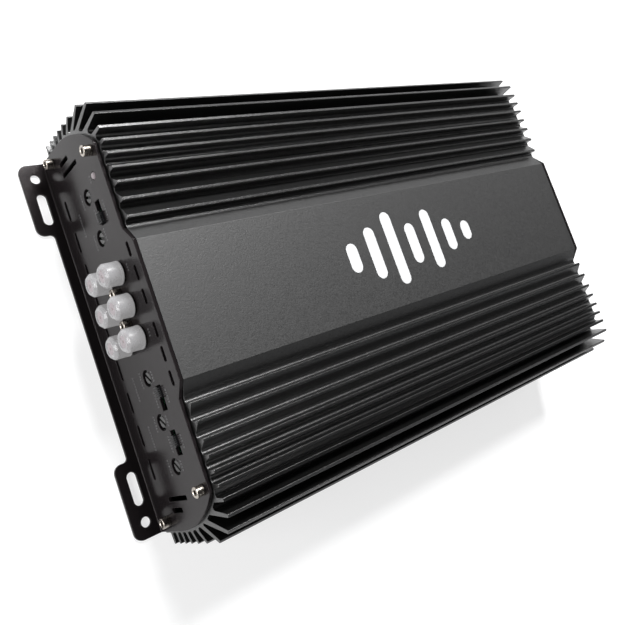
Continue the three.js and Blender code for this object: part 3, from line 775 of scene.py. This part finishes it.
def input_openings():
    holes = [circle((u, v), RCA_HOLE) for u in RCA_COLUMNS for v in RCA_ROWS.values()]
    holes += [circle((u, RCA_SCREW_V), CHANNEL_RADIUS) for u in RCA_SCREWS]
    holes += [circle((u, POT_V), POT_HOLE) for u, _ in POTS]
    half, tall = SWITCH_SLOT["length"] / 2, SWITCH_SLOT["width"] / 2
    holes += [rectangle(u - half, u + half, SWITCH_V - tall, SWITCH_V + tall,
                        SWITCH_SLOT["corner"]) for u, _ in SWITCHES]
    holes.append(circle(LED, LED_HOLE))
    return holes


# Each block of terminals or fuses: middle U, half its width, bottom and top
BLOCKS = ((48.0, 23.5, 22.0, 43.0), (-40.0, 31.0, 24.0, 40.5), (8.0, 12.2, 20.5, 44.5))
BLOCK_GAP = 0.3


def output_openings():
    return [rectangle(u - half - BLOCK_GAP, u + half + BLOCK_GAP, low - BLOCK_GAP,
                      high + BLOCK_GAP, BLOCK_GAP) for u, half, low, high in BLOCKS]


# ---------------------------------------------------------------- screws
SCREW = {"head": 2.4, "height": 3.7, "socket": 1.35, "shank": 1.5, "seat": 0.1}
SOCKET = {"depth": 2.0, "mouth": 1.12, "sink": 0.2, "drill_point": 0.5}
CORNER_SCREW_LENGTH = 10.0
RCA_SCREW_LENGTH = 8.0


def hexagon(radius, count):
    """Points of a hexagon, radius across its corners, at the same angles as a circle's."""
    points = []
    for i in range(count):
        angle = 2 * math.pi * (i + 1) / count
        across = (angle + math.pi / 6) % (math.pi / 3) - math.pi / 6
        reach = radius * math.cos(math.pi / 6) / math.cos(across)
        points.append((reach * math.cos(angle), reach * math.sin(angle)))
    return points


def socket_head(head, socket, seat, face, place, shank=None, tail=None):
    """A socket-head screw from its tail up to its face, with a hexagon socket."""
    sink, count = SOCKET["sink"], 48
    outer = [(0, tail if shank else seat)]
    if shank:
        outer += [(shank, tail, 0.2), (shank, seat)]
    outer += [(head, seat, 0.1), (head, face, 0.45), (socket * SOCKET["mouth"], face, 0.1)]
    outer.append((socket, face - sink))
    rings = profile_rings(outer, place, count)
    for w in (face - sink - 0.05, face - SOCKET["depth"]):
        rings.append([place(a, b, w) for a, b in hexagon(socket, count)])
    rings.append([place(0, 0, face - SOCKET["depth"] - SOCKET["drill_point"])])
    return loft(rings)


def add_plate_screw(name, place, length):
    seat = PLATE_FRONT + SCREW["seat"]
    shape = socket_head(SCREW["head"], SCREW["socket"], seat, seat + SCREW["height"], place,
                        shank=SCREW["shank"], tail=seat - length)
    add_piece(f"{name}_fine", shape, NICKEL, "case", [name])


def add_plate_screws():
    """Each screw has been tightened to an angle of its own."""
    for end, place in (("input", at_input), ("output", at_output)):
        for u, v, row in CORNER_SCREWS:
            for number, side in ((1, 1), (2, -1)):
                spin = math.radians(17 * number + v)
                add_plate_screw(f"{end}_{row}_screw_{number}", moved(place, side * u, v, spin),
                                CORNER_SCREW_LENGTH)
    for number, u in enumerate(RCA_SCREWS, 1):
        place = moved(at_input, u, RCA_SCREW_V, math.radians(23 * number))
        add_plate_screw(f"rca_screw_{number}", place, RCA_SCREW_LENGTH)


# ---------------------------------------------------------------- input end
RCA_BLOCK = {"left": -29.0, "right": 14.4, "bottom": 22.0, "top": 52.0, "back": -11.7,
             "front": -0.3, "corner": 0.5, "edge": 0.3, "socket": 3.9}
# Profiles of (radius, w, fillet) for a socket's nickel barrel and its coloured insulator
RCA_SHELL = [(1.7, -2), (3.85, -2, 0.1), (3.85, -0.25, 0.1), (4.15, -0.2, 0.1), (4.15, 9, 0.3),
             (3.55, 9, 0.2), (3.55, 5), (1.7, 5)]
RCA_CORE = [(0, -11), (1.65, -11), (1.65, 5.05), (3.5, 5.1, 0.1), (3.5, 8.4, 0.3),
            (1.6, 8.4, 0.2), (1.6, 0), (0, 0)]


def add_rca():
    body = rectangle(RCA_BLOCK["left"], RCA_BLOCK["right"], RCA_BLOCK["bottom"],
                     RCA_BLOCK["top"], RCA_BLOCK["corner"])
    sockets = [circle((u, v), RCA_BLOCK["socket"], 32)
               for u in RCA_COLUMNS for v in RCA_ROWS.values()]
    sockets += [circle((u, RCA_SCREW_V), CHANNEL_RADIUS, 24) for u in RCA_SCREWS]
    shape = slab(body, sockets, RCA_BLOCK["back"], RCA_BLOCK["front"], RCA_BLOCK["edge"],
                 at_input)
    add_piece("rca_block_body", shape, MOULDED_BLACK, "case", ["rca_block"])
    for column, u in enumerate(RCA_COLUMNS, 1):
        for row, v in RCA_ROWS.items():
            place = moved(at_input, u, v)
            add_piece(f"rca_shell_{column}_{row}", turned_ring(RCA_SHELL, place), NICKEL, "case")
            insulator = RED_PLASTIC if row == "upper" else WHITE_PLASTIC
            add_piece(f"rca_core_{column}_{row}", turned(RCA_CORE, place), insulator, "case")
            add_dust_cap(f"rca_cap_{column}_{row}", place)


CAP = {"base": 2.7, "face": 10.6, "dish": 0.35, "roof": 0.9}


def add_dust_cap(name, place):
    """A hollow cap with a dished face, the thicker disc in the dish, and its moulding gate."""
    base, face = CAP["base"], CAP["face"]
    floor = face - CAP["dish"]
    profile = [(0, face - 0.6), (0.4, face - 0.6, 0.15), (0.7, floor, 0.2),
               (2.75, floor, 0.15), (3.1, face, 0.15), (4.0, face, 0.3),
               (5.1, face - 1.3, 0.5), (5.1, base + 1.1, 0.3), (5.2, base + 0.8, 0.2),
               (5.2, base, 0.15), (4.45, base, 0.1), (4.45, face - CAP["roof"], 0.4),
               (0, face - CAP["roof"])]
    add_piece(f"{name}_fine", turned(profile, place, 72), MILKY, f"{name}_body",
              [name])
    disc = [(0.75, floor - 0.1), (2.65, floor - 0.1), (2.65, floor + 0.05, 0.04),
            (0.75, floor + 0.05, 0.04)]
    add_piece(f"{name}_disc", turned_ring(disc, place), MILKY_SHADE, f"{name}_body")
    gate = [(0, floor - 0.5), (0.5, floor - 0.5), (0.5, floor - 0.1, 0.1), (0, floor - 0.08)]
    add_piece(f"{name}_gate", turned(gate, place, 24), ROSE_PLASTIC, f"{name}_body")


SHAFT = {"radius": 2.45, "face": 1.3, "tail": -8.0, "slot": 1.2, "slot_depth": 1.2,
         "edge": 0.12, "tail_edge": 0.2}


def add_pots():
    """Each trimmer's shaft: a stem, and two half-round lands with the screwdriver slot between."""
    radius, face, tail = SHAFT["radius"], SHAFT["face"], SHAFT["tail"]
    floor = face - SHAFT["slot_depth"]
    cut = math.asin(SHAFT["slot"] / 2 / radius)
    lands = [arc((0, 0), radius, start + cut - QUARTER_TURN, math.pi - 2 * cut, 20)
             for start in (0, math.pi)]
    profile = [(0, tail), (radius, tail, SHAFT["tail_edge"]), (radius, floor), (0, floor)]
    for number, (u, spin) in enumerate(POTS, 1):
        place = moved(at_input, u, POT_V, math.radians(spin))
        halves = [slab(land, [], floor - 0.05, face, SHAFT["edge"], place) for land in lands]
        stem = turned(profile, place)
        add_piece(f"pot_shaft_{number}_fine", together(stem, *halves), GREY_METAL,
                  f"pot_{number}", [f"pot_shaft_{number}"])


KNOB = {"length": 4.9, "half_width": 1.85, "back": -4.7, "reach": 3.3, "edge": 0.07}
RIBS = {"grooves": 5, "groove": 0.42, "deep": 1.0, "edge": 0.09}


def knob_outline():
    """A slide knob seen from above, with ribs on its outer end, drawn in u and w."""
    half = KNOB["length"] / 2
    reach, edge = KNOB["reach"], RIBS["edge"]
    floor = reach - RIBS["deep"]
    pitch = KNOB["length"] / (RIBS["grooves"] + 1)
    corners = [(-half, KNOB["back"], edge), (half, KNOB["back"], edge), (half, reach, edge)]
    for i in range(RIBS["grooves"], 0, -1):
        right = i * pitch - half + RIBS["groove"] / 2
        left = right - RIBS["groove"]
        corners += [(right, reach, edge), (right, floor, edge), (left, floor, edge),
                    (left, reach, edge)]
    corners.append((-half, reach, edge))
    return filleted(corners)


def add_switches():
    for number, (u, knob) in enumerate(SWITCHES, 1):
        middle = u + knob

        def place(a, b, v, middle=middle):
            return at_input(middle + a, v, b)

        half = KNOB["half_width"]
        shape = slab(knob_outline(), [], SWITCH_V - half, SWITCH_V + half, KNOB["edge"], place)
        add_piece(f"switch_knob_{number}_fine", shape, MOULDED_BLACK, f"switch_{number}",
                  [f"switch_knob_{number}"])


# The light's stem, flange and domed lens, as one profile
LED_PROFILE = [(0, -11.7), (0.8, -11.7, 0.1), (0.8, -4), (2, -4, 0.1), (2, -3, 0.1), (1.5, -3),
               (1.5, 1.7, 0.6), (1.1, 2.3, 0.6), (0, 2.45)]


def add_led():
    add_piece("power_led_fine", turned(LED_PROFILE, moved(at_input, *LED)), MILKY_SHADE, "case",
              ["power_led"])


# ---------------------------------------------------------------- print
# How far the ink stands off its surface, how thick it is, and its edge
INK = {"gap": 0.005, "thick": 0.04, "edge": 0.01}
MARK = {"middle": 5.5, "pitch": 14.6, "width": 7.2, "heights": (15, 27, 39, 22, 33, 18, 11)}


def printed(outline, level, place):
    """A patch of ink on a surface at w = level."""
    low = level + INK["gap"]
    return slab(outline, [], low, low + INK["thick"], INK["edge"], place, steps=1)


def at_plateau(a, b, w):
    return (a, b, PLATEAU["top"] + w)


def add_mark():
    """A generic mark for sound: a row of round-ended bars on the plateau."""
    count = len(MARK["heights"])
    parts = []
    for i, height in enumerate(MARK["heights"]):
        x = MARK["middle"] + (i - (count - 1) / 2) * MARK["pitch"]
        outline = [(x + b, a) for a, b in slot(0, 0, height, MARK["width"])]
        parts.append(printed(outline, 0, at_plateau))
    add_piece("plateau_mark", together(*parts), WHITE_INK, "case")


# Rows of print on the control panel: middle U, V and how many marks
PRINT_ROWS = ((-63.1, 44.4, 3), (-58.0, 30.2, 6), (-48.5, 39.0, 5), (-48.5, 49.2, 6),
              (-39.2, 30.2, 6), (-39.2, 41.8, 5), (-21.4, 23.4, 4), (-7.3, 23.4, 4),
              (6.75, 23.4, 4), (-21.4, 51.6, 3), (6.75, 51.6, 3), (23.5, 30.2, 6),
              (23.5, 41.8, 4), (33.2, 49.2, 5), (33.2, 38.2, 6), (42.7, 30.2, 6),
              (42.7, 41.8, 4), (52.3, 49.2, 5), (52.3, 38.2, 6), (61.8, 30.2, 6),
              (61.8, 41.8, 4), (26.0, 22.6, 9), (48.0, 22.6, 9), (-50.0, 22.6, 9))
# Each mark is a pair of short bars, one above and one below the middle of its row
PRINT = {"pitch": 1.25, "width": 0.8, "height": 0.325, "rise": 0.39, "corner": 0.065}


def add_panel_print():
    """Rows of small plain marks where the panel's legends go."""
    half, tall = PRINT["width"] / 2, PRINT["height"] / 2
    parts = []
    for u, v, count in PRINT_ROWS:
        for i in range(count):
            middle = u + (i - (count - 1) / 2) * PRINT["pitch"]
            for level in (v - PRINT["rise"], v + PRINT["rise"]):
                outline = rectangle(middle - half, middle + half, level - tall, level + tall,
                                    PRINT["corner"])
                parts.append(printed(outline, PLATE_FRONT, at_input))
    add_piece("panel_print", together(*parts), GREY_INK, "case")


# ---------------------------------------------------------------- output end
CLAMP_SINK = 0.6
SLEEVE = {"gap": 0.05, "thick": 0.25, "back": 0.1, "front": 0.5, "outer_corner": 0.3,
          "inner_corner": 0.2, "edge": 0.05}
POWER = {"u": 48.0, "pitch": 15.0, "count": 3, "port_v": 31.0, "port": 4.2, "reach": 12.5,
         "depth": 17.0, "w": 6.5, "radius": 3.2, "socket": 1.75, "foot": 36.0, "top": 43.0}
SPEAKER = {"u": -40.0, "pitch": 7.6, "count": 8, "port_v": 30.5, "port": 2.5, "reach": 10.5,
           "depth": 14.0, "w": 5.5, "radius": 2.0, "socket": 1.1, "foot": 34.0, "top": 40.5}


def add_clamps(kind, name):
    """The clamping screws, and a nickel sleeve in each wire entry."""
    sleeves = []
    for i in range(kind["count"]):
        u = kind["u"] + (i - (kind["count"] - 1) / 2) * kind["pitch"]

        def upright(a, b, w, u=u):
            return at_output(u + a, w, kind["w"] + b)

        face = kind["top"] - CLAMP_SINK
        shape = socket_head(kind["radius"], kind["socket"], kind["foot"], face, upright)
        add_piece(f"{name}_clamp_screw_{i + 1}_fine", shape, NICKEL, f"{name}_clamp_{i + 1}",
                  [f"{name}_clamp_screw_{i + 1}"])
        half = kind["port"] - SLEEVE["gap"]
        bore = half - SLEEVE["thick"]
        v = kind["port_v"]
        outer = rectangle(u - half, u + half, v - half, v + half, SLEEVE["outer_corner"])
        inner = rectangle(u - bore, u + bore, v - bore, v + bore, SLEEVE["inner_corner"])
        start = kind["reach"] - kind["depth"] + SLEEVE["back"]
        end = kind["w"] - kind["radius"] - SLEEVE["front"]
        sleeves.append(slab(outer, [inner], start, end, SLEEVE["edge"], at_output))
    add_piece(f"{name}_sleeves", together(*sleeves), NICKEL, "case")


FUSES = (2.0, 14.0)
FUSE_V = 32.5
# Half of a fuse's outline, drawn in v and w, from its foot to its grip
FUSE_OUTLINE = [(8.5, 0.2, 0.6), (8.5, 7.0, 0.6), (9.5, 7.9, 0.6), (9.5, 11.6, 0.8)]
FUSE = {"half": 2.5, "edge": 0.3}
FUSE_WINDOW = {"at": 3.6, "half": 1.5, "bottom": 9.0, "top": 10.4, "corner": 0.5}
BLADE = {"at": 6.2, "half": 2.6, "tail": -6.8, "head": 0.25, "corner": 0.5, "thick": 0.8,
         "edge": 0.1}


def add_fuses():
    body = filleted(with_mirror(FUSE_OUTLINE))
    windows, blades = [], []
    for side in (1, -1):
        middle, half = side * FUSE_WINDOW["at"], FUSE_WINDOW["half"]
        windows.append(rectangle(middle - half, middle + half, FUSE_WINDOW["bottom"],
                                 FUSE_WINDOW["top"], FUSE_WINDOW["corner"]))
        middle, half = side * BLADE["at"], BLADE["half"]
        blades.append(rectangle(middle - half, middle + half, BLADE["tail"], BLADE["head"],
                                BLADE["corner"]))
    for number, u in enumerate(FUSES, 1):
        def across(a, b, w, u=u):
            return at_output(u + w, FUSE_V + a, b)

        shape = slab(body, windows, -FUSE["half"], FUSE["half"], FUSE["edge"], across)
        add_piece(f"fuse_{number}_body", shape, ORANGE_PLASTIC, f"fuse_{number}_body",
                  [f"fuse_{number}"])
        half = BLADE["thick"] / 2
        pair = [slab(blade, [], -half, half, BLADE["edge"], across) for blade in blades]
        add_piece(f"fuse_{number}_blades", together(*pair), NICKEL, f"fuse_{number}_body")


# ---------------------------------------------------------------- CAD pieces that stay
def finish_node(node, material, bevel=0.0):
    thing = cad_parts[node]
    thing.data.materials.clear()
    thing.data.materials.append(material)
    if bevel:
        weld = thing.modifiers.new("weld", "WELD")
        weld.merge_threshold = 1e-6
        edge = thing.modifiers.new("edges", "BEVEL")
        edge.width = bevel * MM
        edge.segments = 2
        edge.limit_method = "ANGLE"
        edge.angle_limit = math.radians(40)


def finish_nodes():
    finish_node("base_plate", POWDER_BLACK, 0.2)
    finish_node("main_board", CIRCUIT_GREEN)
    finish_node("control_board", CIRCUIT_GREEN)
    for name in ("power_terminal_block", "speaker_terminal_block", "fuse_block"):
        finish_node(name, MOULDED_BLACK, 0.25)
    for side in (1, 2):
        finish_node(f"transistor_bank_{side}", MOULDED_BLACK, 0.2)
    for number in range(1, 6):
        finish_node(f"pot_body_{number}", GREY_PLASTIC)
    for number in range(1, 4):
        finish_node(f"switch_body_{number}", MOULDED_BLACK)
    finish_node("toroid", COPPER_WOUND)
    finish_node("filter_capacitor", SLEEVE_BLUE)


# ---------------------------------------------------------------- studio
def add_light(name, place, target, size, power):
    data = bpy.data.lights.new(name, "AREA")
    data.shape = "RECTANGLE"
    data.size, data.size_y = size
    data.energy = power
    light = bpy.data.objects.new(name, data)
    aim = (Vector(target) - Vector(place)).to_track_quat("-Z", "Y")
    light.matrix_world = Matrix.Translation(place) @ aim.to_matrix().to_4x4()
    bpy.context.collection.objects.link(light)


# Metres
FLOOR_REACH = 12.0
FLOOR_LEVEL = -0.0002
# The backdrop glows with strength To Min up to the height From Min, which is the sine of its
# elevation, and with strength To Max above the height From Max
HORIZON_GLOW = {"From Min": 0.16, "From Max": 0.36, "To Min": 0.8, "To Max": 0.03}
# Each light: name, place and target in metres, size in metres, and power in watts
LIGHTS = (
    ("key", (0.2, 1.03, 1.38), (0, 0, 0.05), (0.55, 0.55), 68),
    ("far", (1.5, 0.7, 1.1), (0, 0, 0.05), (0.9, 0.9), 3.5),
    ("left", (-1.3, -0.06, 0.62), (-0.15, 0, 0.03), (1.0, 0.35), 17),
    ("near", (-0.3, -1.3, 0.7), (-0.1, -0.1, 0), (1.4, 0.6), 1.5),
)


def add_floor():
    corners = ((-1, -1), (1, -1), (1, 1), (-1, 1))
    mesh = bpy.data.meshes.new("floor")
    mesh.from_pydata([(x * FLOOR_REACH, y * FLOOR_REACH, FLOOR_LEVEL) for x, y in corners], [],
                     [(0, 1, 2, 3)])
    mesh.materials.append(pale_floor())
    floor = bpy.data.objects.new("floor", mesh)
    bpy.context.collection.objects.link(floor)


def add_backdrop():
    world = bpy.data.worlds.new("studio")
    world.use_nodes = True
    nodes, links = world.node_tree.nodes, world.node_tree.links
    nodes["Background"].inputs["Color"].default_value = (0.97, 0.98, 1, 1)
    coords = nodes.new("ShaderNodeTexCoord")
    split = nodes.new("ShaderNodeSeparateXYZ")
    height = nodes.new("ShaderNodeMapRange")
    for key, value in HORIZON_GLOW.items():
        height.inputs[key].default_value = value
    links.new(coords.outputs["Generated"], split.inputs["Vector"])
    links.new(split.outputs["Z"], height.inputs["Value"])
    links.new(height.outputs["Result"], nodes["Background"].inputs["Strength"])
    bpy.context.scene.world = world


def add_studio():
    add_floor()
    add_backdrop()
    for light in LIGHTS:
        add_light(*light)
    view = bpy.context.scene.view_settings
    view.view_transform = "Standard"
    view.look = "None"


add_camera()
add_heatsink()
add_end_plate("input_end_plate", at_input, input_openings())
add_end_plate("output_end_plate", at_output, output_openings())
add_plate_screws()
add_rca()
add_pots()
add_switches()
add_led()
add_mark()
add_panel_print()
add_clamps(POWER, "power")
add_clamps(SPEAKER, "speaker")
add_fuses()
finish_nodes()
add_studio()
